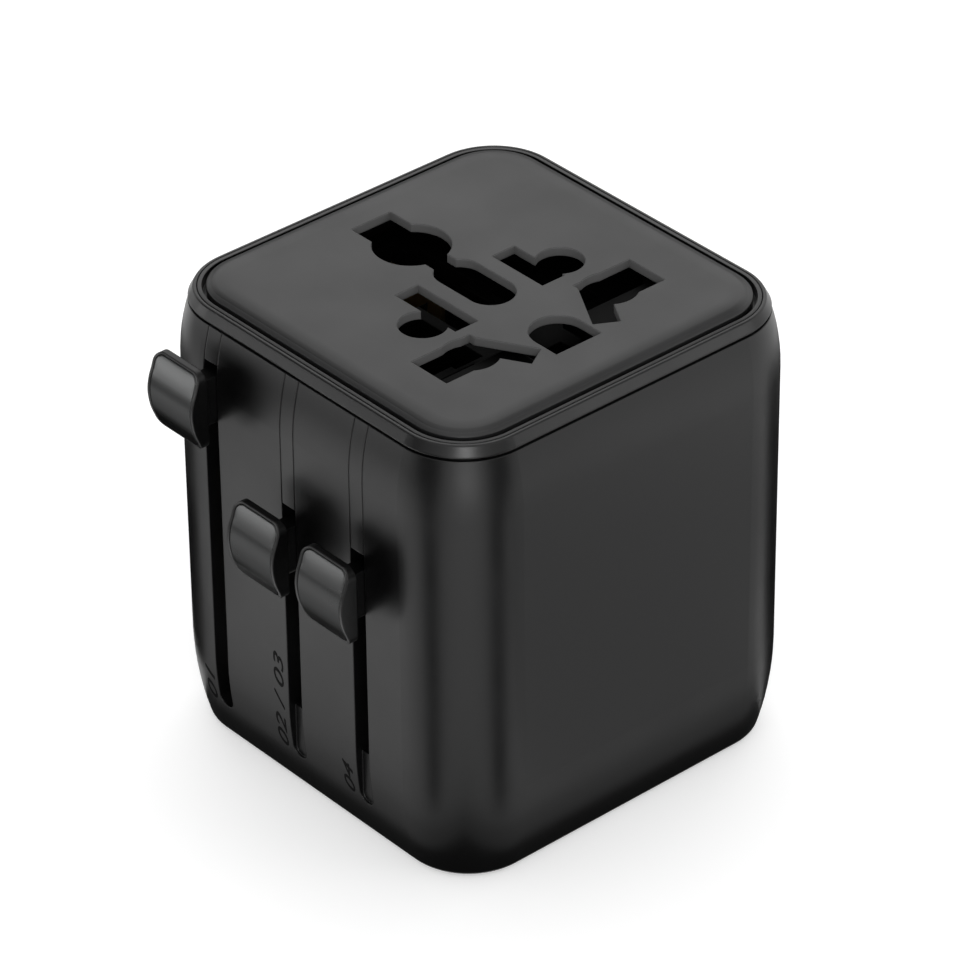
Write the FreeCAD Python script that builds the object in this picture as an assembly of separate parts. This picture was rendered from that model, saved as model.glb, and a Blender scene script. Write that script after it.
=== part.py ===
"""Travel adapter: a square moulded body with a universal socket on top, three
sliders on the front face and three sets of plug pins that retract into the base.
Units are millimetres. Z is up, the sliders face -Y and the base centre is the origin."""
import math
import os

import FreeCAD
import Part
from FreeCAD import Vector

# Outer body
BODY_HALF = 25.05
BODY_CORNER = 9.1
HEIGHT = 54.7
TOP_DRAW = 1.05
TOP_DRAW_H = 6.9
BOTTOM_DRAW = 2.38
BOTTOM_DRAW_H = 11.3
BOTTOM_SHARE = 0.4
WALL = 2.2
CORE = BODY_HALF - BODY_CORNER

# Rim, from the outside to the socket panel
PARTING_GAP = 0.35
SHELL_TOP = HEIGHT - 2.08
RING_BOTTOM = SHELL_TOP + PARTING_GAP
RING_TOP = HEIGHT - 0.53
RING_W = 2.05
RING_LAND = 0.36
RING_FOOT = 0.55
LIP_W = 0.5
GROOVE_W = 0.5
SEAT_W = 1.4
SEAM = 0.1
RING_TOP_HALF = BODY_HALF - RING_W
RING_LAND_HALF = RING_TOP_HALF + RING_LAND
RING_FOOT_HALF = RING_TOP_HALF + RING_FOOT
LIP_INNER = RING_TOP_HALF - LIP_W
PANEL_HALF = LIP_INNER - GROOVE_W
FRAME_OPEN = PANEL_HALF - SEAT_W
GROOVE_FLOOR = HEIGHT - 1.7
PANEL_T = 1.0
PANEL_ROUND = 1.04
PANEL_ROUND_H = 0.42
FRAME_BOTTOM = HEIGHT - 4.3

# Fits
FIT = 0.08
CLEAR = 0.25

# Slots in the front wall
SLOT_W = 2.2
EU_X = 1.83 - CORE
US_X = -1.6
UK_X = 9.46
SLOT_END = 4.6
FLOOR_DEPTH = 0.9
EU_TONGUE_END = HEIGHT - 5.75
LONG_TONGUE_END = HEIGHT - 17.5

# Slider knobs, heights of their centres at rest
EU_KNOB_Z = HEIGHT - 8.65
LOW_KNOB_Z = HEIGHT - 21.1
KNOB_W = 7.5
KNOB_H = 9.4
KNOB_BACK = 3.2
KNOB_OUT = 5.34
KNOB_CORNER = 1.3
CAP_RIM = 0.38
CAP_RIM_TOP = 0.19
CAP_SEAT = 3.75
NECK_TOP = 1.75
NECK_BOTTOM = -4.4
WEB_H = 1.6
FOOT_W = 5.2
FOOT_T = 1.45
FOOT_BOTTOM = -5.5

# The front curve of a knob, as shares of its bulge and of half its height
KNOB_CURVE = ((0.33, 1.0), (0.4, 0.95), (0.51, 0.85), (0.61, 0.72), (0.72, 0.57), (0.83, 0.45), (0.94, 0.27),
              (1.0, 0.09), (0.98, -0.13), (0.84, -0.45), (0.61, -0.72), (0.47, -0.87), (0.34, -0.97))

# Travels, each being what the height leaves beside the base, the carriers and the contacts
LOW_STACK = 31.9
EU_STACK = 18.1
LOW_TRAVEL = HEIGHT - LOW_STACK
EU_TRAVEL = HEIGHT - EU_STACK
FLOOR_TOP = LOW_KNOB_Z + NECK_TOP - WEB_H - LOW_TRAVEL - 0.1

# Base plate
BASE_T = 2.6
BASE_INSET = 3.5
BASE_HALF = BODY_HALF - BASE_INSET
BASE_FIT = 0.05

# Screws
SCREW_X = BASE_HALF - 3.55
SCREW_Y = BASE_HALF - 2.65
SCREW_HEAD_R = 1.5
SCREW_R = 0.95
SCREW_L = 9.0
BOSS_R = 2.0
RIB_HALF = 0.8
BOSS_TOP = 12.0

# Plug pins
TIP_RECESS = 0.2
EU_PIN_R = 2.4
EU_PIN_L = 19.0
EU_PITCH = 19.0
BLADE_T = 1.5
BLADE_W = 6.35
US_PITCH = 12.7
BLADE_TIP = 5.3
BLADE_TURN = 30.0
UK_PIN_T = 4.0
UK_PIN_W = 6.35
UK_LN_TIP = 5.1
UK_EARTH_T = 4.0
UK_EARTH_W = 7.95
UK_LN_PITCH = 22.2
UK_EARTH_DIST = 22.2

# Carriers
CARRIER_T = 3.0
CARRIER_GAP = 0.05
LOW_CARRIER_Z = BASE_T + LOW_TRAVEL + CARRIER_GAP
BLOCK_EDGE = 1.35
BLOCK_X0 = BLOCK_EDGE - BASE_HALF
BLOCK_X1 = -7.4
BLOCK_HALF_Y = SCREW_Y - BOSS_R - 0.4
BLOCK_CORNER = 2.4
BLOCK_PLATE = 2.5
LUG_HALF = 1.9
LUG_OUT = 1.1
BLOCK_TOP = BASE_T + EU_TRAVEL + CARRIER_GAP
BLOCK_BOTTOM = TIP_RECESS + EU_PIN_L
NOTCH_X0 = -17.1
NOTCH_HALF = 2.6
EU_PIN_X = (BLOCK_X0 + BLOCK_X1) / 2
US_PAIR_X = 2.3
US_PAIR_Y = -6.3
UK_LN_X = 13.4
UK_EARTH_X = UK_LN_X - UK_EARTH_DIST
POST_T = 1.4
STEM_R = 1.6
COLLAR_R = 2.1
COLLAR_T = 1.2

# Socket openings, read from the panel
EARTH_X0 = -17.5
EARTH_W = 5.47
EARTH_ROUND_X = -10.82
EARTH_ROUND_R = 4.28
LINK_HALF = 1.52
STADIUM_X0 = -3.2
STADIUM_X1 = 1.85
STADIUM_R = 2.72
SLOT_US_W = 3.13
US_LONG = (-4.22, 5.37)
US_SHORT = (-3.38, 4.6)
EU_HOLE_X = 2.08
EU_HOLE_R = 2.66
UK_HOLE = (6.74, 12.27, 7.17, 15.08)
ROUND_HOLE_X = 9.65
ROUND_HOLE_Y = 9.6
ROUND_HOLE_R = 3.17
AU_X = 11.05
AU_Y = 6.85
AU_L = 8.0
AU_W = 3.0
D_X = 12.4
D_R = 3.11
D_FLAT = 15.62

# Inner parts under the panel
COVER_T = 2.2
COVER_TOP = FRAME_BOTTOM
COVER_BOTTOM = COVER_TOP - COVER_T
INNER_BOTTOM = LOW_CARRIER_Z + CARRIER_T + 2.15
INNER_FRONT = -BODY_HALF + WALL + FOOT_T + POST_T + 0.6
INNER_BACK = BODY_HALF - WALL - 1.35
INNER_LEFT = -6.3
INNER_RIGHT = BODY_HALF - WALL - 0.85
WELL_FLOOR = INNER_BOTTOM + 5.4
FUSE_R = 2.45
FUSE_X = INNER_RIGHT - FUSE_R - 0.85
FUSE_HALF = 10.0
FUSE_CAP = 4.5
FUSE_SEAT = 0.4
FUSE_FLOOR = COVER_BOTTOM - 2 * FUSE_R - FUSE_SEAT - 1.2
LEDGE = 1.1
SHEET = 0.6
WELL_X0 = -5.1
WELL_X1 = FUSE_X - FUSE_R - 1.35
WELL_Y0 = 4.0
WELL_Y1 = 15.9
LEAF_TOP = COVER_BOTTOM - 4.0
LEAF_FAR = WELL_X1 - 2.8
LEAF_NEAR = 6.4
LEAF_ROUND = 4.4
MIDDLE_HALF = 3.1
MIDDLE_X1 = FUSE_X - FUSE_R - 0.75
THROUGH_X1 = 1.0
EARTH_CLIP_H = 5.6
EARTH_CLIP_X0 = -18.9
EARTH_CLIP_X1 = -9.6
EARTH_CLIP_HALF = 3.5

# Shutter
SHUTTER_TRAVEL = 3.4
SHUTTER_X0 = 8.9
SHUTTER_X1 = FRAME_OPEN - SHUTTER_TRAVEL - 0.2
SHUTTER_TOP = HEIGHT - 1.6
SHUTTER_T = 1.2
SHUTTER_RAMP = 0.6
SHUTTER_CORNER = 1.3
BRIDGE_W = 1.1
BRIDGE_HALF = 4.0
RAIL_X0 = 8.5
RAIL_W = 2.8
RAIL_Y1 = FRAME_OPEN - 2.4
RAIL_Y0 = RAIL_Y1 - RAIL_W
SPRING_Y = RAIL_Y0 + 1.3
SPRING_X0 = 9.5
SPRING_POST_X = SHUTTER_X1 - 1.4
SPRING_POST_T = 0.8
SPRING_STRIP = 0.22
SPRING_HALF_W = 0.75
SPRING_FOLDS = 7


def box(x0, x1, y0, y1, z0, z1):
    """A block from its limits on the three axes."""
    return Part.makeBox(x1 - x0, y1 - y0, z1 - z0, Vector(x0, y0, z0))


def cyl(x, y, z0, z1, r):
    """An upright round bar."""
    return Part.makeCylinder(r, z1 - z0, Vector(x, y, z0))


def fuse(shapes):
    """One clean solid out of several that touch."""
    return shapes[0].multiFuse(shapes[1:]).removeSplitter()


def turned(shape, x, y, degrees):
    """A copy turned about an upright line."""
    copy = shape.copy()
    copy.rotate(Vector(x, y, 0), Vector(0, 0, 1), degrees)
    return copy


def rounded(x0, x1, y0, y1, r, z0, z1):
    """A block with four rounded upright edges."""
    body = box(x0, x1, y0, y1, z0, z1)
    edges = [e for e in body.Edges if abs(e.tangentAt(e.FirstParameter).z) > 0.9]
    return body.makeFillet(r, edges)


def square(half, z0, z1):
    """A square block whose corners share their centres with the body's."""
    return rounded(-half, half, -half, half, half - CORE, z0, z1)


def line(a, b):
    """A straight edge between two points of an upright section."""
    return Part.makeLine(Vector(a[0], 0, a[1]), Vector(b[0], 0, b[1]))


def section(points):
    """The closed section through the points."""
    return [line(a, b) for a, b in zip(points, points[1:] + points[:1])]


def arc_between(centre, radius, a, b):
    """The short arc between two points of an upright section."""
    middle = Vector((a[0] + b[0]) / 2 - centre[0], 0, (a[1] + b[1]) / 2 - centre[1])
    middle.multiply(radius / middle.Length)
    middle += Vector(centre[0], 0, centre[1])
    return Part.Arc(Vector(a[0], 0, a[1]), middle, Vector(b[0], 0, b[1])).toShape()


def soft_quarter(cx, cz, rx, rz, up, share):
    """A soft edge like a quarter of an ellipse, made of a wide and a tight arc that run into each other.
    The share is the tight arc's radius over the smaller half axis."""
    a, b = sorted((rx, rz))
    tight = share * a
    wide = (a * a + b * b - 2 * b * tight) / (2 * (a - tight))
    ux = (wide - a) / (wide - tight)
    uz = (b - tight) / (wide - tight)
    centres = [(a - wide, 0), (0, b - tight)]
    ends = [(a, 0), (a - wide + wide * ux, wide * uz), (0, b)]
    if rx > rz:
        centres = [p[::-1] for p in centres]
        ends = [p[::-1] for p in ends]
    centres = [(cx + p[0], cz + up * p[1]) for p in centres]
    ends = [(cx + p[0], cz + up * p[1]) for p in ends]
    return [arc_between(centres[0], wide, ends[0], ends[1]), arc_between(centres[1], tight, ends[1], ends[2])]


def carried(edges, core=None):
    """Carries a section round the square: straight sides and four turned corners."""
    face = Part.Face(Part.Wire(Part.__sortEdges__(edges)))
    pieces = []
    side = face.copy()
    side.translate(Vector(CORE, -CORE, 0))
    side = side.extrude(Vector(0, 2 * CORE, 0))
    corner = face.copy()
    corner.translate(Vector(CORE, CORE, 0))
    corner = corner.revolve(Vector(CORE, CORE, 0), Vector(0, 0, 1), 90)
    for k in range(4):
        pieces.append(turned(side, 0, 0, 90 * k))
        pieces.append(turned(corner, 0, 0, 90 * k))
    if core:
        pieces.append(box(-CORE, CORE, -CORE, CORE, core[0], core[1]))
    return fuse(pieces)


def outer_body():
    """The full pillow form of the body, without its cavity."""
    r = BODY_CORNER
    top_start = SHELL_TOP - TOP_DRAW_H
    arc_r = (TOP_DRAW_H ** 2 + TOP_DRAW ** 2) / (2 * TOP_DRAW)
    mid_h = TOP_DRAW_H / 2
    mid = Vector(r - arc_r + math.sqrt(arc_r ** 2 - mid_h ** 2), 0, top_start + mid_h)
    top = Part.Arc(Vector(r, 0, top_start), mid, Vector(r - TOP_DRAW, 0, SHELL_TOP)).toShape()
    edges = [line((0, 0), (r - BOTTOM_DRAW, 0)),
             line((r, BOTTOM_DRAW_H), (r, top_start)),
             top,
             line((r - TOP_DRAW, SHELL_TOP), (0, SHELL_TOP)),
             line((0, SHELL_TOP), (0, 0))]
    edges += soft_quarter(r - BOTTOM_DRAW, BOTTOM_DRAW_H, BOTTOM_DRAW, BOTTOM_DRAW_H, -1, BOTTOM_SHARE)
    return carried(edges, (0, SHELL_TOP))


def slot_cut(x, through_from, end):
    """The straight opening of one slot, from its end up through the top edge."""
    half = SLOT_W / 2
    front = -BODY_HALF - 1
    inside = -BODY_HALF + WALL + 0.5
    cut = box(x - half, x + half, front, inside, through_from, SHELL_TOP + 1)
    back = inside
    if through_from > end + SLOT_W:
        back = -BODY_HALF + FLOOR_DEPTH
    groove = box(x - half, x + half, front, back, end + half, SHELL_TOP + 1)
    round_end = Part.makeCylinder(half, back - front, Vector(x, front, end + half), Vector(0, 1, 0))
    return fuse([cut, groove, round_end])


def boss(x, y):
    """A screw post tied to the corner of the wall."""
    post = box(x - BOSS_R, x + BOSS_R, y - BOSS_R, y + BOSS_R, BASE_T, BOSS_TOP)
    sx = 1 if x > 0 else -1
    x0, x1 = sorted((x, sx * (BODY_HALF - WALL + 0.3)))
    rib = box(x0, x1, y - RIB_HALF, y + RIB_HALF, BASE_T, BOSS_TOP)
    return fuse([post, rib])


def screw_places():
    """The four screw positions."""
    return [(sx * SCREW_X, sy * SCREW_Y) for sx in (-1, 1) for sy in (-1, 1)]


def cover_ledges():
    """Short ledges on three walls that carry the contact cover."""
    inner = BODY_HALF - WALL
    z0 = COVER_BOTTOM - 1.8
    plain = box(inner - LEDGE + 0.3, inner + 0.3, -5, 5, z0, COVER_BOTTOM)
    return [plain, turned(plain, 0, 0, 90), turned(plain, 0, 0, 180)]


def housing(body):
    """The outer shell with its cavity, three slots and four screw posts."""
    inner = BODY_HALF - WALL
    shell = body.cut(square(inner, BASE_T, SHELL_TOP + 1))
    shell = shell.cut(square(BASE_HALF + BASE_FIT, -1, BASE_T + 0.5))
    shell = shell.cut(slot_cut(EU_X, SLOT_END + SLOT_W / 2, SLOT_END))
    for x in (US_X, UK_X):
        shell = shell.cut(slot_cut(x, FLOOR_TOP, SLOT_END))
    posts = [ledge.common(body) for ledge in cover_ledges()]
    for x, y in screw_places():
        posts.append(boss(x, y).cut(cyl(x, y, BASE_T - 1, BASE_T + SCREW_L, SCREW_R + 0.05)))
    return fuse([shell] + posts)


def fan(x, y, turn):
    """The opening that lets a blade turn: two end positions and the sweep between."""
    half_t = BLADE_T / 2 + CLEAR
    half_w = BLADE_W / 2 + CLEAR
    reach = math.hypot(BLADE_W / 2, BLADE_T / 2) + 0.12
    plain = box(x - half_t, x + half_t, y - half_w, y + half_w, -1, BASE_T + 1)
    pieces = [plain, turned(plain, x, y, turn)]
    start = min(0, turn)
    for base in (90, 270):
        sweep = Part.makeCylinder(reach, BASE_T + 2, Vector(x, y, -1), Vector(0, 0, 1), abs(turn))
        pieces.append(turned(sweep, x, y, base + start))
    pieces.append(cyl(x, y, BASE_T - COLLAR_T - 0.1, BASE_T + 1, COLLAR_R + CLEAR))
    return fuse(pieces)


def base_plate():
    """The face that holds the pins' openings and takes the four screws."""
    plate = square(BASE_HALF, 0, BASE_T)
    well = rounded(BLOCK_X0 - CLEAR, BLOCK_X1 + CLEAR, -BLOCK_HALF_Y - CLEAR, BLOCK_HALF_Y + CLEAR,
                   2.6, -1, BASE_T + 1)
    earth = box(UK_EARTH_X - UK_EARTH_W / 2 - CLEAR, UK_EARTH_X + UK_EARTH_W / 2 + CLEAR,
                -UK_EARTH_T / 2 - CLEAR, UK_EARTH_T / 2 + CLEAR, -1, BASE_T + 1)
    plate = plate.cut(well).cut(earth)
    for s in (-1, 1):
        y = s * UK_LN_PITCH / 2
        plate = plate.cut(rounded(UK_LN_X - UK_PIN_T / 2 - CLEAR, UK_LN_X + UK_PIN_T / 2 + CLEAR,
                                  y - UK_PIN_W / 2 - CLEAR, y + UK_PIN_W / 2 + CLEAR, 0.4, -1, BASE_T + 1))
        plate = plate.cut(fan(US_PAIR_X + s * US_PITCH / 2, US_PAIR_Y, -s * BLADE_TURN))
    for x, y in screw_places():
        plate = plate.cut(cyl(x, y, -1, BASE_T + 1, SCREW_R + 0.15))
        plate = plate.cut(cyl(x, y, -1, 1.6, SCREW_HEAD_R + 0.15))
    return plate


def screws():
    """Four screws that hold the base plate, seen from below with a cross recess."""
    group = []
    profile = [(0, 0.3), (SCREW_HEAD_R, 0.3), (SCREW_HEAD_R, 1.6), (SCREW_R, 1.6), (SCREW_R, SCREW_L), (0, SCREW_L)]
    for x, y in screw_places():
        shape = Part.Face(Part.Wire(section(profile))).revolve(Vector(0, 0, 0), Vector(0, 0, 1), 360)
        shape.translate(Vector(x, y, 0))
        for a in (0, 90):
            shape = shape.cut(turned(box(x - 1.0, x + 1.0, y - 0.18, y + 0.18, -1, 0.85), x, y, a))
        group.append(shape)
    return Part.makeCompound(group)


def ring():
    """The sloping band that crowns the body."""
    foot_in = RING_TOP_HALF + 0.05 - CORE
    points = [(foot_in, SHELL_TOP), (RING_FOOT_HALF - CORE, SHELL_TOP),
              (RING_FOOT_HALF - CORE, RING_BOTTOM), (BODY_HALF - TOP_DRAW - CORE, RING_BOTTOM),
              (BODY_HALF - TOP_DRAW - CORE, RING_BOTTOM + 0.12), (RING_LAND_HALF + 0.08 - CORE, RING_TOP - 0.08),
              (RING_LAND_HALF - 0.04 - CORE, RING_TOP), (foot_in, RING_TOP)]
    return carried(section(points))


def frame(body):
    """The inner frame: a seat for the panel, the narrow lip and three slot tongues."""
    outer = BODY_HALF - WALL - 0.1
    lip_out = RING_TOP_HALF + 0.05 - SEAM
    points = [(FRAME_OPEN - CORE, FRAME_BOTTOM), (outer - CORE, FRAME_BOTTOM), (outer - CORE, SHELL_TOP + 0.1),
              (lip_out - CORE, SHELL_TOP + 0.1), (lip_out - CORE, RING_TOP), (LIP_INNER - CORE, RING_TOP),
              (LIP_INNER - CORE, GROOVE_FLOOR), (PANEL_HALF - 0.05 - CORE, GROOVE_FLOOR),
              (PANEL_HALF - 0.05 - CORE, HEIGHT - PANEL_T), (FRAME_OPEN - CORE, HEIGHT - PANEL_T)]
    pieces = [carried(section(points))]
    half = SLOT_W / 2 - FIT
    for x, end in ((EU_X, EU_TONGUE_END), (US_X, LONG_TONGUE_END), (UK_X, LONG_TONGUE_END)):
        strip = box(x - half, x + half, -BODY_HALF - 1, -BODY_HALF + WALL, end, SHELL_TOP)
        strip = strip.common(body)
        top = box(x - half, x + half, -BODY_HALF + WALL - 0.05, -outer + 0.6, FRAME_BOTTOM, SHELL_TOP)
        pieces += [strip, top]
    return fuse(pieces)


def bar(x, y, z0, z1, r):
    """An upright square bar, as wide as a round one of that radius."""
    return box(x - r, x + r, y - r, y + r, z0, z1)


def hole_set(z0, z1, grow, hole):
    """All openings of the socket as one upright cutter. Hole makes the round ones."""
    g = grow
    w = EARTH_W / 2 + g
    cuts = [box(EARTH_X0 - g, EARTH_ROUND_X, -w, w, z0, z1),
            hole(EARTH_ROUND_X, 0, z0, z1, EARTH_ROUND_R + g),
            box(EARTH_ROUND_X, STADIUM_X0, -LINK_HALF - g, LINK_HALF + g, z0, z1),
            box(STADIUM_X0, STADIUM_X1, -STADIUM_R - g, STADIUM_R + g, z0, z1),
            hole(STADIUM_X0, 0, z0, z1, STADIUM_R + g),
            hole(STADIUM_X1, 0, z0, z1, STADIUM_R + g),
            hole(D_X, 0, z0, z1, D_R + g),
            box(D_X, D_FLAT + g, -D_R - g, D_R + g, z0, z1)]
    for s, span in ((-1, US_LONG), (1, US_SHORT)):
        y = s * US_PITCH / 2
        cuts.append(box(span[0] - g, span[1] + g, y - SLOT_US_W / 2 - g, y + SLOT_US_W / 2 + g, z0, z1))
        cuts.append(hole(EU_HOLE_X, s * EU_PITCH / 2, z0, z1, EU_HOLE_R + g))
        y0, y1 = sorted((s * UK_HOLE[2], s * UK_HOLE[3]))
        cuts.append(box(UK_HOLE[0] - g, UK_HOLE[1] + g, y0 - g, y1 + g, z0, z1))
        cuts.append(hole(ROUND_HOLE_X, s * ROUND_HOLE_Y, z0, z1, ROUND_HOLE_R + g))
        blade = box(AU_X - AU_L / 2 - g, AU_X + AU_L / 2 + g, s * AU_Y - AU_W / 2 - g, s * AU_Y + AU_W / 2 + g,
                    z0, z1)
        cuts.append(turned(blade, AU_X, s * AU_Y, -s * BLADE_TURN))
    return cuts


def socket_panel():
    """The socket face with its softly rounded border."""
    r = PANEL_HALF - CORE
    low = HEIGHT - PANEL_ROUND_H
    edges = [line((0, HEIGHT - PANEL_T), (r, HEIGHT - PANEL_T)), line((r, HEIGHT - PANEL_T), (r, low)),
             line((r - PANEL_ROUND, HEIGHT), (0, HEIGHT)), line((0, HEIGHT), (0, HEIGHT - PANEL_T))]
    roll = (PANEL_ROUND ** 2 + PANEL_ROUND_H ** 2) / (2 * PANEL_ROUND_H)
    edges.append(arc_between((r - PANEL_ROUND, HEIGHT - roll), roll, (r, low), (r - PANEL_ROUND, HEIGHT)))
    plate = carried(edges, (HEIGHT - PANEL_T, HEIGHT))
    return plate.cut(fuse(hole_set(HEIGHT - 2, HEIGHT + 1, 0.0, cyl)))


def knob_form(x, z):
    """The hollowed and bulged plate that a finger pushes, before its cap is let in."""
    face_y = -BODY_HALF
    side = x - KNOB_W / 2
    bulge = KNOB_OUT - KNOB_BACK
    front = [Vector(side, face_y - KNOB_BACK - bulge * o, z + KNOB_H / 2 * h) for o, h in KNOB_CURVE]
    curve = Part.BSplineCurve()
    curve.interpolate(front)
    a = Vector(side, face_y - KNOB_BACK, z + KNOB_H / 2)
    b = Vector(side, face_y - KNOB_BACK, z - KNOB_H / 2)
    wire = Part.Wire([Part.makeLine(a, front[0]), curve.toShape(), Part.makeLine(front[-1], b),
                      Part.makeLine(b, a)])
    return Part.Face(wire).extrude(Vector(KNOB_W, 0, 0))


def knob_window(x, z, inset, top_inset, y0, y1):
    """A rounded upright window seen from the front, for the knob's outline and its cap."""
    half = KNOB_W / 2 - inset
    tall = KNOB_H / 2
    block = box(x - half, x + half, y0, y1, z - tall + inset, z + tall - top_inset)
    edges = [e for e in block.Edges if abs(e.tangentAt(e.FirstParameter).y) > 0.9]
    return block.makeFillet(KNOB_CORNER - inset * 0.6, edges)


def knob(x, z):
    """A slider knob: plate, neck through the slot and the foot inside the wall."""
    face_y = -BODY_HALF
    front = face_y - KNOB_OUT - 1
    plate = knob_form(x, z).common(knob_window(x, z, 0, 0, front, face_y))
    pocket = knob_window(x, z, CAP_RIM, CAP_RIM_TOP, front, face_y - CAP_SEAT)
    plate = plate.cut(pocket)
    half = SLOT_W / 2 - FIT
    neck_low = NECK_BOTTOM + half
    inner = FLOOR_DEPTH - 0.15
    neck = fuse([box(x - half, x + half, face_y - KNOB_BACK - 0.2, face_y + inner, z + neck_low, z + NECK_TOP),
                 Part.makeCylinder(half, KNOB_BACK + 0.2 + inner, Vector(x, face_y - KNOB_BACK - 0.2, z + neck_low),
                                   Vector(0, 1, 0))])
    web = box(x - half, x + half, face_y + inner - 0.1, face_y + WALL + 0.2, z + NECK_TOP - WEB_H, z + NECK_TOP)
    foot = box(x - FOOT_W / 2, x + FOOT_W / 2, face_y + WALL + 0.1, face_y + WALL + 0.1 + FOOT_T,
               z + FOOT_BOTTOM, z + NECK_TOP)
    return fuse([plate, neck, web, foot])


def knob_cap(x, z):
    """The smooth cap let into the front of a knob."""
    face_y = -BODY_HALF
    window = knob_window(x, z, CAP_RIM + FIT, CAP_RIM_TOP + FIT, face_y - KNOB_OUT - 1, face_y - CAP_SEAT)
    return knob_form(x, z).common(window)


def post(x, width, z0, z1, y_to):
    """The upright of a carrier that meets a knob's foot, with the arm behind it."""
    y0 = -BODY_HALF + WALL + 0.1 + FOOT_T
    upright = box(x - width / 2, x + width / 2, y0, y0 + POST_T, z0, z1)
    arm = box(x - width / 2, x + width / 2, y0, y_to, z0, z0 + CARRIER_T)
    return fuse([upright, arm])


def eu_block():
    """The plug body of the round pins, notched so that the long earth pin clears it."""
    body = rounded(BLOCK_X0, BLOCK_X1, -BLOCK_HALF_Y, BLOCK_HALF_Y, BLOCK_CORNER, BLOCK_BOTTOM, BLOCK_TOP + 0.1)
    plate_top = BLOCK_TOP + BLOCK_PLATE
    lug = box(EU_PIN_X - LUG_HALF, EU_PIN_X + LUG_HALF, -BLOCK_HALF_Y - LUG_OUT, BLOCK_HALF_Y + LUG_OUT,
              BLOCK_TOP, plate_top)
    plate = rounded(BLOCK_X0, BLOCK_X1, -BLOCK_HALF_Y, BLOCK_HALF_Y, BLOCK_CORNER, BLOCK_TOP, plate_top)
    stop = EU_KNOB_Z + NECK_TOP
    pieces = [body, lug, plate, post(EU_PIN_X, 2 * LUG_HALF, BLOCK_TOP, stop, -BLOCK_HALF_Y)]
    shape = fuse(pieces)
    shape = shape.cut(box(NOTCH_X0, BLOCK_X1 + 1, -NOTCH_HALF, NOTCH_HALF, BLOCK_BOTTOM - 1, BLOCK_TOP + 5))
    for s in (-1, 1):
        shape = shape.cut(cyl(EU_PIN_X, s * EU_PITCH / 2, BLOCK_BOTTOM - 1, BLOCK_TOP, STEM_R))
    return shape


def eu_pin(s):
    """A round pin with a rounded tip and a thinner stem pressed into the block."""
    y = s * EU_PITCH / 2
    r = EU_PIN_R
    section_points = [(0, TIP_RECESS), (0.4 * r, TIP_RECESS), (0.8 * r, TIP_RECESS + 0.3 * r), (r, TIP_RECESS + 0.8 * r),
                      (r, BLOCK_BOTTOM), (STEM_R, BLOCK_BOTTOM), (STEM_R, BLOCK_TOP), (0, BLOCK_TOP)]
    pin = Part.Face(Part.Wire(section(section_points))).revolve(Vector(0, 0, 0), Vector(0, 0, 1), 360)
    pin.translate(Vector(EU_PIN_X, y, 0))
    return pin


def us_carrier():
    """The bar that carries the two turning blades."""
    z = LOW_CARRIER_Z
    x0 = US_PAIR_X - US_PITCH / 2 - COLLAR_R
    x1 = US_PAIR_X + US_PITCH / 2 + COLLAR_R
    bar = rounded(x0, x1, US_PAIR_Y - 2.8, US_PAIR_Y + 2.8, 1.0, z, z + CARRIER_T)
    stop = LOW_KNOB_Z + NECK_TOP
    shape = fuse([bar, post(US_X, 3.4, z, stop, US_PAIR_Y - 2.0)])
    for s in (-1, 1):
        shape = shape.cut(cyl(US_PAIR_X + s * US_PITCH / 2, US_PAIR_Y, z - 1, z + 5, STEM_R + 0.05))
    return shape


def blade(s):
    """A flat blade with the round stem it turns on."""
    x = US_PAIR_X + s * US_PITCH / 2
    tip = BLADE_TIP
    top = LOW_CARRIER_Z - 0.05
    flat = box(x - BLADE_T / 2, x + BLADE_T / 2, US_PAIR_Y - BLADE_W / 2, US_PAIR_Y + BLADE_W / 2, tip, top)
    low = [e for e in flat.Edges if abs(e.tangentAt(e.FirstParameter).z) < 0.1 and
           abs(e.CenterOfMass.z - tip) < 0.01]
    flat = flat.makeChamfer(0.45, low)
    stem = cyl(x, US_PAIR_Y, top - 0.5, LOW_CARRIER_Z + CARRIER_T + 1.2, STEM_R)
    shoulder = cyl(x, US_PAIR_Y, top - COLLAR_T, top, COLLAR_R)
    return fuse([flat, stem, shoulder])


def blade_clip(s):
    """The spring clip that keeps a blade's stem in the bar."""
    x = US_PAIR_X + s * US_PITCH / 2
    z = LOW_CARRIER_Z + CARRIER_T + 0.05
    plate = box(x - COLLAR_R, x + COLLAR_R, US_PAIR_Y - COLLAR_R, US_PAIR_Y + COLLAR_R, z, z + 0.8)
    plate = plate.cut(cyl(x, US_PAIR_Y, z - 1, z + 2, STEM_R))
    return plate.cut(box(x - STEM_R, x + STEM_R, US_PAIR_Y, US_PAIR_Y + COLLAR_R + 1, z - 1, z + 2))


def uk_carrier():
    """The T-shaped carrier of the three flat pins."""
    z = LOW_CARRIER_Z
    half_y = UK_LN_PITCH / 2 + UK_PIN_W / 2 + 0.2
    bar = rounded(UK_LN_X - 2.2, UK_LN_X + 2.2, -half_y, half_y, 0.8, z, z + CARRIER_T)
    arm = box(UK_EARTH_X - 3.6, UK_LN_X, -1.8, 1.8, z, z + CARRIER_T)
    stop = LOW_KNOB_Z + NECK_TOP
    riser = post(UK_X + 1.0, 3.6, z, stop, -half_y + 3.0)
    foot = box(UK_X - 0.8, UK_LN_X + 1.4, -half_y - 2.0, -half_y + 1.6, z, z + CARRIER_T)
    shape = fuse([bar, arm, riser, foot])
    for s in (-1, 1):
        shape = shape.cut(box(UK_LN_X - 1.3, UK_LN_X + 1.3, s * UK_LN_PITCH / 2 - 2, s * UK_LN_PITCH / 2 + 2,
                              z - 1, z + 5))
    return shape.cut(box(UK_EARTH_X - 2.6, UK_EARTH_X + 2.6, -1.1, 1.1, z - 1, z + 5))


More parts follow.
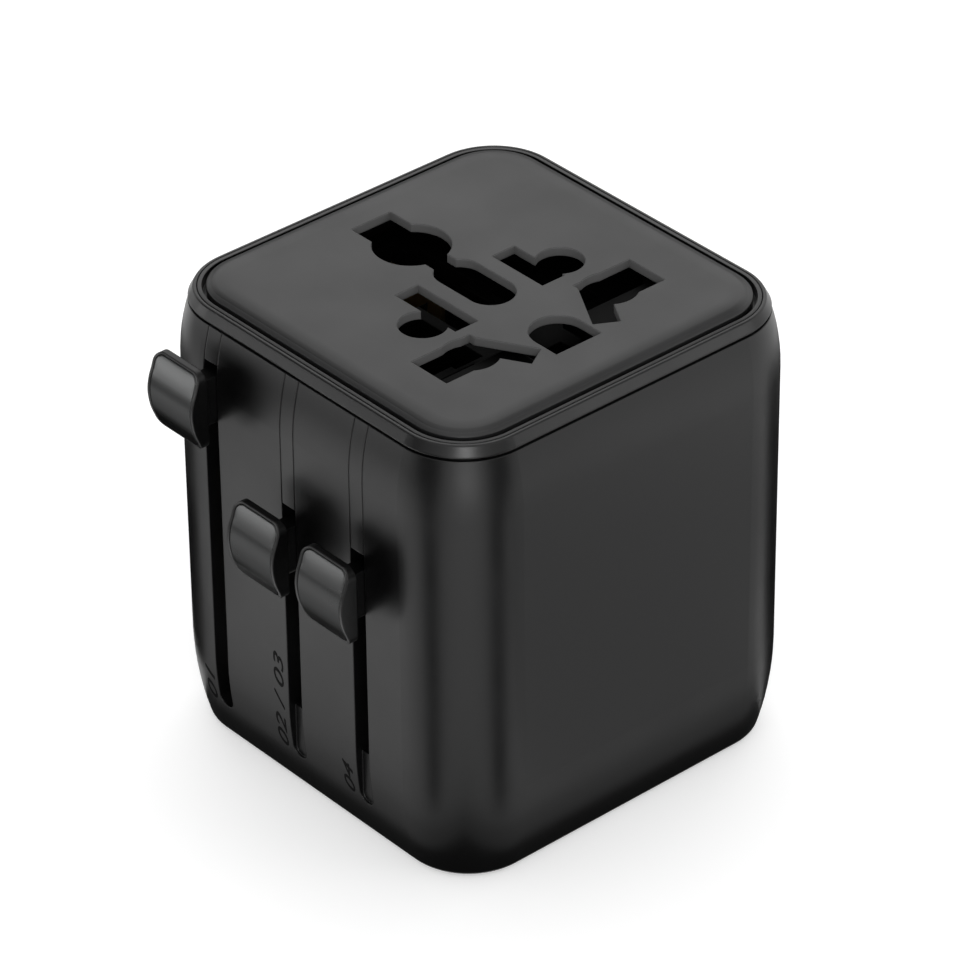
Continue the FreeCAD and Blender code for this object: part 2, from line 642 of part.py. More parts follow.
def flat_pin(x, y, wx, wy, tip, stem_x, stem_y):
    """A rectangular pin with a chamfered tip and a stem through the carrier."""
    top = LOW_CARRIER_Z
    body = box(x - wx / 2, x + wx / 2, y - wy / 2, y + wy / 2, tip, top)
    low = [e for e in body.Edges if abs(e.CenterOfMass.z - tip) < 0.01]
    body = body.makeChamfer(0.8, low)
    stem = box(x - stem_x / 2, x + stem_x / 2, y - stem_y / 2, y + stem_y / 2, top - 1, top + CARRIER_T + 0.8)
    return fuse([body, stem])


def uk_pin(s):
    """The live or neutral flat pin."""
    return flat_pin(UK_LN_X, s * UK_LN_PITCH / 2, UK_PIN_T, UK_PIN_W, UK_LN_TIP, 2.6, 4.0)


def uk_earth_pin():
    """The longer earth pin."""
    return flat_pin(UK_EARTH_X, 0, UK_EARTH_W, UK_EARTH_T, TIP_RECESS, 5.2, 2.2)


def contact_carrier():
    """The moulded block under the socket, with a well for each set of contacts."""
    block = box(INNER_LEFT, INNER_RIGHT, INNER_FRONT, INNER_BACK, INNER_BOTTOM, COVER_BOTTOM)
    corner = [e for e in block.Edges if abs(e.tangentAt(e.FirstParameter).z) > 0.9 and
              e.CenterOfMass.x > 0]
    block = block.makeFillet(6.0, corner)
    top = COVER_BOTTOM + 1
    for s in (-1, 1):
        y0, y1 = sorted((s * WELL_Y0, s * WELL_Y1))
        block = block.cut(box(WELL_X0, WELL_X1, y0, y1, WELL_FLOOR, top))
    block = block.cut(box(INNER_LEFT - 1, THROUGH_X1, -MIDDLE_HALF, MIDDLE_HALF, INNER_BOTTOM - 1, top))
    block = block.cut(box(THROUGH_X1 - 0.1, MIDDLE_X1, -MIDDLE_HALF, MIDDLE_HALF, WELL_FLOOR, top))
    half = FUSE_R + 0.25
    return block.cut(box(FUSE_X - half, FUSE_X + half, -FUSE_HALF - 0.3, FUSE_HALF + 0.3, FUSE_FLOOR, top))


def contact_cover():
    """The plate over the contacts, open where pins enter."""
    plate = square(BODY_HALF - WALL - 0.15, COVER_BOTTOM, COVER_TOP)
    far = BODY_HALF + 1
    plate = plate.cut(box(-far, far, -far, INNER_FRONT, COVER_BOTTOM - 1, COVER_TOP - 1.0))
    plate = plate.cut(fuse(hole_set(COVER_BOTTOM - 1, COVER_TOP + 1, 0.3, bar)))
    posts = [box(SPRING_POST_X, SPRING_POST_X + SPRING_POST_T, s * SPRING_Y - 0.9, s * SPRING_Y + 0.9,
                 COVER_TOP - 0.5, SHUTTER_TOP - 0.1) for s in (-1, 1)]
    return fuse([plate] + posts)


def leaf_pair(x0, x1, y, gap, z0, z1):
    """Two upright spring leaves that grip a blade lying along X."""
    return [box(x0, x1, y - gap - SHEET, y - gap, z0, z1), box(x0, x1, y + gap, y + gap + SHEET, z0, z1)]


def side_contact(s):
    """Live or neutral contact: a strip with leaves for every kind of pin on its side."""
    z = WELL_FLOOR
    y0, y1 = sorted((s * (WELL_Y0 + 0.4), s * (WELL_Y1 - 0.5)))
    pieces = [box(WELL_X0 + 0.5, WELL_X1 - 0.5, y0, y1, z, z + SHEET)]
    pieces += leaf_pair(WELL_X0 + 0.9, -0.3, s * US_PITCH / 2, BLADE_T / 2 + CLEAR, z, LEAF_TOP)
    middle = s * UK_LN_PITCH / 2
    for x in (LEAF_NEAR, LEAF_FAR):
        pieces.append(box(x, x + SHEET, middle - 2.5, middle + 2.5, z, LEAF_TOP))
    middle = s * EU_PITCH / 2
    pieces.append(box(LEAF_ROUND, LEAF_ROUND + SHEET, middle - 1.7, middle + 1.7, z, LEAF_TOP))
    return fuse(pieces)


def earth_clip():
    """The sprung clip for the flat earth pin, hung under the cover above the notch."""
    top = COVER_BOTTOM
    low = top - EARTH_CLIP_H
    x0, x1 = EARTH_CLIP_X0, EARTH_CLIP_X1
    half = EARTH_CLIP_HALF
    return fuse([box(x0, x1, half - SHEET, half, low, top), box(x0, x1, -half, SHEET - half, low, top),
                 box(x0, x0 + SHEET, -half, half, low, top)])


def middle_clip():
    """The clips for the earth pins of other plugs, on one strip."""
    half = MIDDLE_HALF - 0.15
    near = THROUGH_X1 + 0.4
    far = MIDDLE_X1 - 0.3
    pieces = [box(near, far, -half, half, WELL_FLOOR, WELL_FLOOR + SHEET)]
    for x0, x1 in ((near, near + 2.8), (far - 5.0, far - 0.2)):
        for s in (-1, 1):
            y0, y1 = sorted((s * (half - SHEET), s * half))
            pieces.append(box(x0, x1, y0, y1, WELL_FLOOR, LEAF_TOP))
    return fuse(pieces)


def fuse_parts():
    """The glass fuse, lying along Y, and its two end caps."""
    z = FUSE_FLOOR + FUSE_SEAT + FUSE_R
    tube = Part.makeCylinder(FUSE_R - 0.15, 2 * FUSE_HALF - 2, Vector(FUSE_X, 1 - FUSE_HALF, z), Vector(0, 1, 0))
    caps = []
    for y in (-FUSE_HALF, FUSE_HALF - FUSE_CAP):
        caps.append(Part.makeCylinder(FUSE_R, FUSE_CAP, Vector(FUSE_X, y, z), Vector(0, 1, 0)))
    for cap in caps:
        tube = tube.cut(cap)
    return tube, Part.makeCompound(caps)


def fuse_clips():
    """Two sheet clips that hold the fuse by its caps."""
    clips = []
    for y in (1 - FUSE_HALF, FUSE_HALF - FUSE_CAP + 0.4):
        seat = box(FUSE_X - FUSE_R - 0.2, FUSE_X + FUSE_R + 0.2, y, y + 3.0, FUSE_FLOOR, FUSE_FLOOR + FUSE_SEAT)
        arms = [box(FUSE_X + a, FUSE_X + b, y, y + 3.0, FUSE_FLOOR, FUSE_FLOOR + FUSE_R + 0.8)
                for a, b in ((-FUSE_R - 0.2, -FUSE_R), (FUSE_R, FUSE_R + 0.2))]
        clips.append(fuse([seat] + arms))
    return Part.makeCompound(clips)


def shutter():
    """The sprung shutter under the panel, in two wings joined beyond the middle opening."""
    z1 = SHUTTER_TOP
    z0 = z1 - SHUTTER_T
    low = COVER_TOP + CARRIER_GAP
    pieces = [box(SHUTTER_X1 - BRIDGE_W, SHUTTER_X1, -BRIDGE_HALF, BRIDGE_HALF, z0, z1)]
    ramp = [(SHUTTER_X0, z0), (SHUTTER_X1, z0), (SHUTTER_X1, z1), (SHUTTER_X0 + SHUTTER_RAMP, z1),
            (SHUTTER_X0, z1 - SHUTTER_RAMP)]
    inner = BRIDGE_HALF - 0.2
    wing = Part.Face(Part.Wire(section(ramp))).extrude(Vector(0, RAIL_Y0 + 0.2 - inner, 0))
    for s in (-1, 1):
        placed = wing.copy()
        placed.translate(Vector(0, min(s * inner, s * (RAIL_Y0 + 0.2)), 0))
        pieces.append(placed)
        y0, y1 = sorted((s * RAIL_Y0, s * RAIL_Y1))
        rail = box(RAIL_X0, SHUTTER_X1, y0, y1, low, z1)
        corner = [e for e in rail.Edges if abs(e.tangentAt(e.FirstParameter).z) > 0.9 and
                  e.CenterOfMass.x > SHUTTER_X1 - 0.1 and abs(e.CenterOfMass.y) > RAIL_Y1 - 0.1]
        pieces.append(rail.makeFillet(SHUTTER_CORNER, corner))
    shape = fuse(pieces)
    for s in (-1, 1):
        y = s * SPRING_Y
        shape = shape.cut(box(SPRING_X0, SPRING_POST_X + SPRING_POST_T + CARRIER_GAP, y - 1.1, y + 1.1,
                              low - 1, z1 + 1))
    return shape


def spring(s):
    """A folded strip spring that holds the shutter shut."""
    x0 = SPRING_X0 + CARRIER_GAP
    x1 = SPRING_POST_X - CARRIER_GAP
    z0 = COVER_TOP + CARRIER_GAP
    z1 = SHUTTER_TOP - 0.1
    step = (x1 - x0 - SPRING_STRIP) / (2 * SPRING_FOLDS)
    y0 = s * SPRING_Y - SPRING_HALF_W
    y1 = s * SPRING_Y + SPRING_HALF_W
    pieces = []
    for k in range(2 * SPRING_FOLDS + 1):
        x = x0 + k * step
        pieces.append(box(x, x + SPRING_STRIP, y0, y1, z0, z1))
        if k < 2 * SPRING_FOLDS:
            low = z0 if k % 2 else z1 - SPRING_STRIP
            pieces.append(box(x, x + step + SPRING_STRIP, y0, y1, low, low + SPRING_STRIP))
    strip = fuse(pieces)
    bends = [e for e in strip.Edges if abs(e.tangentAt(e.FirstParameter).y) > 0.9 and
             (e.CenterOfMass.z < z0 + 0.01 or e.CenterOfMass.z > z1 - 0.01)]
    return strip.makeChamfer(SPRING_STRIP * 0.4, bends)


def parts():
    """Every node with its shape."""
    body = outer_body()
    tube, caps = fuse_parts()
    nodes = {
        "housing": housing(body),
        "base_plate": base_plate(),
        "base_screws": screws(),
        "rim_ring": ring(),
        "inner_frame": frame(body),
        "socket_panel": socket_panel(),
        "knob_round_pins": knob(EU_X, EU_KNOB_Z),
        "knob_cap_round_pins": knob_cap(EU_X, EU_KNOB_Z),
        "knob_blades": knob(US_X, LOW_KNOB_Z),
        "knob_cap_blades": knob_cap(US_X, LOW_KNOB_Z),
        "knob_flat_pins": knob(UK_X, LOW_KNOB_Z),
        "knob_cap_flat_pins": knob_cap(UK_X, LOW_KNOB_Z),
        "round_pin_block": eu_block(),
        "round_pin_front": eu_pin(-1),
        "round_pin_back": eu_pin(1),
        "blade_carrier": us_carrier(),
        "blade_left": blade(-1),
        "blade_right": blade(1),
        "blade_clip_left": blade_clip(-1),
        "blade_clip_right": blade_clip(1),
        "flat_pin_carrier": uk_carrier(),
        "flat_pin_front": uk_pin(-1),
        "flat_pin_back": uk_pin(1),
        "earth_pin": uk_earth_pin(),
        "contact_carrier": contact_carrier(),
        "contact_cover": contact_cover(),
        "contact_front": side_contact(-1),
        "contact_back": side_contact(1),
        "earth_clip": earth_clip(),
        "earth_clip_middle": middle_clip(),
        "fuse_tube": tube,
        "fuse_caps": caps,
        "fuse_clips": fuse_clips(),
        "shutter": shutter(),
        "shutter_spring_front": spring(-1),
        "shutter_spring_back": spring(1),
    }
    return nodes


os.makedirs("parts", exist_ok=True)
for name, shape in parts().items():
    shape.exportStep(os.path.join("parts", name + ".step"))
    print(name, len(shape.Solids), shape.isValid(), round(shape.Volume, 1))
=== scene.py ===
import math

import bmesh
import bpy
from mathutils import Matrix, Vector
from mathutils.bvhtree import BVHTree


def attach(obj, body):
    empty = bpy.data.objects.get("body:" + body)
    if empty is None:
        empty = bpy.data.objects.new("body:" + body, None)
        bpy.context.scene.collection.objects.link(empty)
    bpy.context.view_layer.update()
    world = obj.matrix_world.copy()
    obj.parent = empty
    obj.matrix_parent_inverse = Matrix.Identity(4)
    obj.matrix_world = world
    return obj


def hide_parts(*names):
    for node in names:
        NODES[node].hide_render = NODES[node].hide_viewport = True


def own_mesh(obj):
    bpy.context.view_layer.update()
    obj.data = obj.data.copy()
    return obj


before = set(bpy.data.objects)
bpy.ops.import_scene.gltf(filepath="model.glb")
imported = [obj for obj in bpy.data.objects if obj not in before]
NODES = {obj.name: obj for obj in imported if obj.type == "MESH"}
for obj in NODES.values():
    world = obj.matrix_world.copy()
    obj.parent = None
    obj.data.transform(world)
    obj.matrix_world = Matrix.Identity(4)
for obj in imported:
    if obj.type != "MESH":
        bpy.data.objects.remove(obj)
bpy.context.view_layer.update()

MM = 0.001

# Camera, fitted to the photograph: metres, degrees and pixels, and the sensor in millimetres
CAMERA_PLACE = (0.367957, -0.3176066, 0.3524852)
CAMERA_HEADING = 49.2133
CAMERA_TILT = 33.544
CAMERA_ROLL = -0.6327
FOCAL_PIXELS = 5456.862
PHOTO_PIXELS = 960.0
SENSOR_WIDTH = 36.0

# Materials: lengths in metres
BLACK = (0.0012, 0.0012, 0.0013)
WHITE = (1.0, 1.0, 1.0, 1.0)
TARNISH = 0.93                      # how dark a metal's colour gets in its clouds
GRAIN_DEPTH = 0.0000035
DRAWING_DEPTH = 0.000002
DRAWING_STRETCH = 0.04
METAL_EDGE = 0.0001
BEVEL_SAMPLES = 6
NOISE_RANGE = (0.3, 0.7)            # nearly all of a noise lies between these
CORNER_CENTRE = 0.01595             # x and y of the centre that a rounded corner of the body turns about
PANEL_BORDER = (0.0035, 0.004)      # past the corner centres, where the openings end and the border begins
UPRIGHT_NORMAL_Z = (0.05, 0.35)     # a face is a wall below the first, and isn't one above the second

# Numbers beside the slots: the first two lengths in millimetres, the others in metres
FIGURE_HEIGHT = 1.6
FIGURE_SLANT = 0.32
LONGEST_EDGE = 0.35
MARK_LIFT = 0.00002
BEFORE_FRONT = -0.05                # y of a place well in front of the shell

# Floor: lengths in metres
FLOOR_HALF = 4.0
FLOOR_DROP = 0.0001
FLOOR_GREY = 0.86
FLOOR_GLOW = 0.30

# Lights: lengths in metres
WORLD_LEVEL = 0.8
LAMP_AIM = Vector((0.0, 0.0, 0.027))
LAMP_DISTANCE = 0.9

# Cards: lengths in millimetres
ARC_STEPS = 6
WALL_REACH = 160.0


# Camera

def make_camera():
    """The heading turns from +Y towards -X, the tilt is down from level, and the roll is about the view."""
    data = bpy.data.cameras.new("camera")
    data.sensor_width = SENSOR_WIDTH
    data.lens = FOCAL_PIXELS * SENSOR_WIDTH / PHOTO_PIXELS
    data.clip_start = 0.01
    data.clip_end = 20.0
    camera = bpy.data.objects.new("camera", data)
    bpy.context.scene.collection.objects.link(camera)
    heading = Matrix.Rotation(math.radians(CAMERA_HEADING), 4, "Z")
    tilt = Matrix.Rotation(math.radians(90.0 - CAMERA_TILT), 4, "X")
    roll = Matrix.Rotation(math.radians(CAMERA_ROLL), 4, "Z")
    camera.matrix_world = Matrix.Translation(CAMERA_PLACE) @ heading @ tilt @ roll
    bpy.context.scene.camera = camera


# Small helpers for node trees

class Tree:
    """The node tree of a material or of the world, built from nothing."""

    def __init__(self, owner, output):
        owner.use_nodes = True
        self.owner = owner
        self.nodes = owner.node_tree.nodes
        self.links = owner.node_tree.links
        self.nodes.clear()
        self.out = self.nodes.new(output)

    def add(self, kind, inputs=None, **settings):
        """A new node with these settings, and these values in its input sockets."""
        node = self.nodes.new(kind)
        for key, value in settings.items():
            setattr(node, key, value)
        for socket, value in (inputs or {}).items():
            node.inputs[socket].default_value = value
        return node

    def link(self, source, target):
        self.links.new(source, target)


def new_material(name):
    return Tree(bpy.data.materials.new(name), "ShaderNodeOutputMaterial")


def noise(tree, coords, scale, detail, rough):
    node = tree.add("ShaderNodeTexNoise", {"Scale": scale, "Detail": detail, "Roughness": rough})
    tree.link(coords, node.inputs["Vector"])
    return node.outputs["Fac"]


def span(tree, source, low, high, start=0.0, end=1.0):
    """Goes from low to high while the source goes from start to end."""
    node = tree.add("ShaderNodeMapRange", {"From Min": start, "From Max": end, "To Min": low, "To Max": high})
    tree.link(source, node.inputs["Value"])
    return node.outputs["Result"]


def tint(tree, source, dark, light):
    node = tree.add("ShaderNodeMix", {"A": (*dark, 1.0), "B": (*light, 1.0)}, data_type="RGBA")
    tree.link(source, node.inputs["Factor"])
    return node.outputs["Result"]


def soft_edges(tree, radius):
    return tree.add("ShaderNodeBevel", {"Radius": radius}, samples=BEVEL_SAMPLES).outputs["Normal"]


def relief(tree, normal, height, depth, invert=False):
    node = tree.add("ShaderNodeBump", {"Strength": 1.0, "Distance": depth}, invert=invert)
    tree.link(height, node.inputs["Height"])
    tree.link(normal, node.inputs["Normal"])
    return node.outputs["Normal"]


def fall(tree, normal, source, start, end, depth):
    """The surface seems to fall away, level at first, while the source goes from start to end."""
    curve = tree.add("ShaderNodeMath", {1: 2.0}, operation="POWER")
    tree.link(span(tree, source, 0.0, 1.0, start, end), curve.inputs[0])
    return relief(tree, normal, curve.outputs["Value"], depth, invert=True)


def height_share(tree):
    """0 at the bottom of a piece and 1 at its top."""
    split = tree.add("ShaderNodeSeparateXYZ")
    tree.link(tree.add("ShaderNodeTexCoord").outputs["Generated"], split.inputs["Vector"])
    return split.outputs["Z"]


def corner_distance(tree, coords):
    """How far a point is outside the square through the corner centres: level lines are rounded squares."""
    size = tree.add("ShaderNodeVectorMath", operation="ABSOLUTE")
    tree.link(coords, size.inputs[0])
    past = tree.add("ShaderNodeVectorMath", {1: (CORNER_CENTRE, CORNER_CENTRE, 1.0)}, operation="SUBTRACT")
    tree.link(size.outputs["Vector"], past.inputs[0])
    outside = tree.add("ShaderNodeVectorMath", {1: (0.0, 0.0, 0.0)}, operation="MAXIMUM")
    tree.link(past.outputs["Vector"], outside.inputs[0])
    length = tree.add("ShaderNodeVectorMath", operation="LENGTH")
    tree.link(outside.outputs["Vector"], length.inputs[0])
    return length.outputs["Value"]


def painted_light_walls(tree, coords, base, colour):
    """Painted light: mixes a paler colour into upright faces, away from the outer border, so that the walls
    of the openings look lit.
    """
    split = tree.add("ShaderNodeSeparateXYZ")
    tree.link(tree.add("ShaderNodeTexCoord").outputs["Normal"], split.inputs["Vector"])
    both = tree.add("ShaderNodeMath", operation="MULTIPLY")
    tree.link(span(tree, split.outputs["Z"], 1.0, 0.0, *UPRIGHT_NORMAL_Z), both.inputs[0])
    tree.link(span(tree, corner_distance(tree, coords), 1.0, 0.0, *PANEL_BORDER), both.inputs[1])
    walls = tree.add("ShaderNodeMix", {"B": (*colour, 1.0)}, data_type="RGBA")
    tree.link(both.outputs["Value"], walls.inputs["Factor"])
    tree.link(base, walls.inputs["A"])
    return walls.outputs["Result"]


def seen_ray(tree):
    """1 for what the camera sees, also by reflection or through glass, and 0 for what only gives light."""
    path = tree.add("ShaderNodeLightPath")
    seen = path.outputs["Is Camera Ray"]
    for kind in ("Is Glossy Ray", "Is Transmission Ray"):
        either = tree.add("ShaderNodeMath", operation="MAXIMUM")
        tree.link(seen, either.inputs[0])
        tree.link(path.outputs[kind], either.inputs[1])
        seen = either.outputs["Value"]
    return seen


# Materials

def plastic(name, colour, rough, specular, grain_scale=5200.0, edge=0.0002, spread=0.04, metallic=0.0,
            rim=1.0, painted_wall_light=None, border=None, ends=()):
    """Moulded plastic: fine spark-eroded grain, faint cloudiness in colour and gloss, and softened edges.

    A rim below 1 dims a metallic finish where it is seen at a low angle. A wall colour paints light on the
    upright sides of openings: a paler colour there, so that they look lit. A border gives the start, end and
    depth of a soft fall towards a rounded-square edge, past the corner centres. Each end gives the same
    towards the top or bottom, with its start and end as shares of the piece's height.
    """
    tree = new_material(name)
    shader = tree.add("ShaderNodeBsdfPrincipled", {
        "Specular IOR Level": specular, "Metallic": metallic, "Specular Tint": (rim, rim, rim, 1.0)})
    coords = tree.add("ShaderNodeTexCoord").outputs["Object"]
    cloud = noise(tree, coords, scale=90.0, detail=4.0, rough=0.55)
    dark = tuple(c * (1.0 - 2.0 * spread) for c in colour)
    light = tuple(c * (1.0 + 2.0 * spread) for c in colour)
    base = tint(tree, cloud, dark, light)
    # Painted light: the upright walls of openings get a paler colour, so that they look lit.
    if painted_wall_light:
        base = painted_light_walls(tree, coords, base, painted_wall_light)
    tree.link(base, shader.inputs["Base Color"])
    tree.link(span(tree, cloud, rough - spread, rough + spread, *NOISE_RANGE), shader.inputs["Roughness"])
    normal = soft_edges(tree, edge)
    if border:
        normal = fall(tree, normal, corner_distance(tree, coords), *border)
    for end in ends:
        normal = fall(tree, normal, height_share(tree), *end)
    grain = noise(tree, coords, scale=grain_scale, detail=2.0, rough=0.6)
    tree.link(relief(tree, normal, grain, GRAIN_DEPTH), shader.inputs["Normal"])
    tree.link(shader.outputs["BSDF"], tree.out.inputs["Surface"])
    return tree.owner


def metal(name, colour, rough):
    """Plated or bare metal with fine drawing marks along Z."""
    tree = new_material(name)
    shader = tree.add("ShaderNodeBsdfPrincipled", {"Metallic": 1.0})
    coords = tree.add("ShaderNodeTexCoord").outputs["Object"]
    drawn = tree.add("ShaderNodeMapping", {"Scale": (1.0, 1.0, DRAWING_STRETCH)})
    tree.link(coords, drawn.inputs["Vector"])
    marks = noise(tree, drawn.outputs["Vector"], scale=6000.0, detail=3.0, rough=0.6)
    cloud = noise(tree, coords, scale=160.0, detail=4.0, rough=0.6)
    dark = tuple(c * TARNISH for c in colour)
    tree.link(tint(tree, cloud, dark, colour), shader.inputs["Base Color"])
    tree.link(span(tree, cloud, rough - 0.03, rough + 0.04, *NOISE_RANGE), shader.inputs["Roughness"])
    normal = relief(tree, soft_edges(tree, METAL_EDGE), marks, DRAWING_DEPTH)
    tree.link(normal, shader.inputs["Normal"])
    tree.link(shader.outputs["BSDF"], tree.out.inputs["Surface"])
    return tree.owner


def clear_glass(name):
    """The fuse's thin glass."""
    tree = new_material(name)
    shader = tree.add("ShaderNodeBsdfPrincipled", {
        "Base Color": (0.86, 0.92, 0.9, 1.0), "Transmission Weight": 0.9, "IOR": 1.5})
    coords = tree.add("ShaderNodeTexCoord").outputs["Object"]
    cloud = noise(tree, coords, scale=300.0, detail=3.0, rough=0.5)
    tree.link(span(tree, cloud, 0.03, 0.09), shader.inputs["Roughness"])
    tree.link(shader.outputs["BSDF"], tree.out.inputs["Surface"])
    return tree.owner


def dress(material, *names):
    """Gives CAD nodes this material."""
    for name in names:
        node = NODES[name]
        node.data.materials.clear()
        node.data.materials.append(material)


def make_materials():
    body = plastic("body_black", BLACK, rough=0.35, specular=0.38)
    # The panel's openings have painted light: their upright walls are coloured paler so that they look lit.
    panel = plastic("panel_black", (0.006, 0.006, 0.0062), rough=0.44, specular=0.50, grain_scale=7000.0,
                    painted_wall_light=(0.10, 0.10, 0.10), border=(0.0034, 0.0056, 0.0003))
    rim = plastic("rim_black", BLACK, rough=0.33, specular=0.38)
    lip = plastic("lip_black", BLACK, rough=0.33, specular=0.38, border=(0.0060, 0.0080, 0.00028))
    knob = plastic("knob_black", BLACK, rough=0.33, specular=0.30)
    cap = plastic("cap_grey", (0.0680, 0.0688, 0.0688), rough=0.28, specular=0.5, metallic=1.0, rim=0.40,
                  spread=0.01, ends=((0.72, 1.0, 0.00015), (0.22, 0.0, 0.0004)))
    inner = plastic("inner_black", (0.001, 0.001, 0.001), rough=0.5, specular=0.02)
    shade = plastic("shutter_black", (0.0012, 0.0012, 0.0012), rough=0.5, specular=0.03)
    brass = metal("pin_brass", (0.80, 0.70, 0.46), rough=0.27)
    nickel = metal("pin_nickel", (0.74, 0.73, 0.71), rough=0.22)
    # The contacts' colour is dull brass, and darker still as painted shade, for their place deep inside the
    # openings.
    shaded_dull_brass = metal("contact_brass", (0.34, 0.24, 0.11), rough=0.42)
    steel = metal("zinc_steel", (0.56, 0.57, 0.58), rough=0.36)
    dress(body, "housing", "base_plate", "round_pin_block")
    dress(rim, "rim_ring")
    dress(lip, "inner_frame")
    dress(panel, "socket_panel")
    dress(knob, "knob_round_pins", "knob_blades", "knob_flat_pins")
    dress(cap, "knob_cap_round_pins", "knob_cap_blades", "knob_cap_flat_pins")
    dress(inner, "blade_carrier", "flat_pin_carrier", "contact_carrier", "contact_cover")
    dress(shade, "shutter")
    dress(brass, "blade_left", "blade_right", "flat_pin_front", "flat_pin_back", "earth_pin")
    dress(nickel, "round_pin_front", "round_pin_back")
    dress(shaded_dull_brass, "contact_front", "contact_back", "earth_clip", "earth_clip_middle")
    dress(steel, "base_screws", "blade_clip_left", "blade_clip_right", "shutter_spring_front",
          "shutter_spring_back", "fuse_clips", "fuse_caps")
    dress(clear_glass("fuse_clear"), "fuse_tube")


# Springs

def make_spring(name, node):
    """Stands for a shutter spring: a copy of it, attached to the root body, takes the place of the CAD node.
    """
    piece = bpy.data.objects.new(name, NODES[node].data.copy())
    piece.matrix_world = NODES[node].matrix_world.copy()
    bpy.context.scene.collection.objects.link(piece)
    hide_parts(node)
    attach(piece, "root")
    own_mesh(piece)


def make_springs():
    make_spring("spring_front", "shutter_spring_front")
    make_spring("spring_back", "shutter_spring_back")


# Numbers beside the slots

def flat_text(name, text):
    data = bpy.data.curves.new(name + "_text", "FONT")
    data.body = text
    data.shear = FIGURE_SLANT
    data.resolution_u = 4
    draft = bpy.data.objects.new(name + "_draft", data)
    bpy.context.scene.collection.objects.link(draft)
    bpy.context.view_layer.update()
    mesh = bpy.data.meshes.new_from_object(draft)
    bpy.data.objects.remove(draft)
    return mesh


def split_long_edges(shape, scale):
    """Gives the figures enough points to follow a curve."""
    bmesh.ops.remove_doubles(shape, verts=shape.verts, dist=1e-5)
    for _ in range(2):
        long_edges = [e for e in shape.edges if e.calc_length() * scale > LONGEST_EDGE]
        bmesh.ops.subdivide_edges(shape, edges=long_edges, cuts=1)
        bmesh.ops.triangulate(shape, faces=[f for f in shape.faces if len(f.verts) > 4])


def make_number(name, text, shell, paint, baseline_x, low_z, high_z):
    """Slanted figures that read upwards, laid on the front of the shell and following its curve.

    The x of the baseline and the z of its two ends are in millimetres.
    """
    mesh = flat_text(name, text)
    xs = [v.co.x for v in mesh.vertices]
    ys = [v.co.y for v in mesh.vertices]
    along = (high_z - low_z) / (max(xs) - min(xs))
    across = FIGURE_HEIGHT / (max(ys) - min(ys))
    shape = bmesh.new()
    shape.from_mesh(mesh)
    split_long_edges(shape, max(along, across))
    for vert in shape.verts:
        x = (baseline_x - (vert.co.y - min(ys)) * across) * MM
        z = (low_z + (vert.co.x - min(xs)) * along) * MM
        place, normal = shell.ray_cast(Vector((x, BEFORE_FRONT, z)), Vector((0.0, 1.0, 0.0)))[:2]
        vert.co = place + normal * MARK_LIFT
    bmesh.ops.recalc_face_normals(shape, faces=shape.faces)
    shape.to_mesh(mesh)
    shape.free()
    mesh.materials.clear()
    mesh.materials.append(paint)
    piece = bpy.data.objects.new(name, mesh)
    bpy.context.scene.collection.objects.link(piece)
    solid = piece.modifiers.new("thickness", "SOLIDIFY")
    solid.thickness = MARK_LIFT
    solid.offset = 0.0
    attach(piece, "root")


def make_numbers():
    """Black figures, duller than the shell."""
    paint = plastic("mark_black", (0.0015, 0.0015, 0.0015), rough=0.5, specular=0.05, edge=0.00001)
    shell = BVHTree.FromObject(NODES["housing"], bpy.context.evaluated_depsgraph_get())
    make_number("number_round_pins", "01", shell, paint, baseline_x=-15.75, low_z=4.7, high_z=8.9)
    make_number("number_blades", "02 / 03", shell, paint, baseline_x=-3.5, low_z=5.0, high_z=17.2)
    make_number("number_flat_pins", "04", shell, paint, baseline_x=7.55, low_z=5.0, high_z=8.9)


# Floor

def floor_material():
    """White with a faint glow, and clear from below, to show the base and the pins that come out of it."""
    tree = new_material("floor_white")
    diffuse = tree.add("ShaderNodeBsdfDiffuse", {"Color": (FLOOR_GREY, FLOOR_GREY, FLOOR_GREY, 1.0)})
    glow = tree.add("ShaderNodeEmission", {"Color": WHITE})
    level = tree.add("ShaderNodeMath", {1: FLOOR_GLOW}, operation="MULTIPLY")
    tree.link(seen_ray(tree), level.inputs[0])
    tree.link(level.outputs["Value"], glow.inputs["Strength"])
    above = tree.add("ShaderNodeAddShader")
    tree.link(diffuse.outputs["BSDF"], above.inputs[0])
    tree.link(glow.outputs["Emission"], above.inputs[1])
    below = tree.add("ShaderNodeBsdfTransparent")
    either = tree.add("ShaderNodeMixShader")
    tree.link(tree.add("ShaderNodeNewGeometry").outputs["Backfacing"], either.inputs["Fac"])
    tree.link(above.outputs["Shader"], either.inputs[1])
    tree.link(below.outputs["BSDF"], either.inputs[2])
    tree.link(either.outputs["Shader"], tree.out.inputs["Surface"])
    return tree.owner


def make_floor():
    mesh = bpy.data.meshes.new("floor")
    half = FLOOR_HALF
    corners = [(-half, -half, 0), (half, -half, 0), (half, half, 0), (-half, half, 0)]
    mesh.from_pydata(corners, [], [(0, 1, 2, 3)])
    mesh.materials.append(floor_material())
    floor = bpy.data.objects.new("floor", mesh)
    floor.location = (0.0, 0.0, -FLOOR_DROP)
    bpy.context.scene.collection.objects.link(floor)


# Lights

def make_world():
    """White where it is seen, and a little dimmer where it only gives light."""
    world = bpy.data.worlds.new("studio")
    bpy.context.scene.world = world
    tree = Tree(world, "ShaderNodeOutputWorld")
    light = tree.add("ShaderNodeBackground", {"Color": WHITE, "Strength": WORLD_LEVEL})
    seen = tree.add("ShaderNodeBackground", {"Color": WHITE, "Strength": 1.0})
    mix = tree.add("ShaderNodeMixShader")
    tree.link(seen_ray(tree), mix.inputs["Fac"])
    tree.link(light.outputs["Background"], mix.inputs[1])
    tree.link(seen.outputs["Background"], mix.inputs[2])
    tree.link(mix.outputs["Shader"], tree.out.inputs["Surface"])


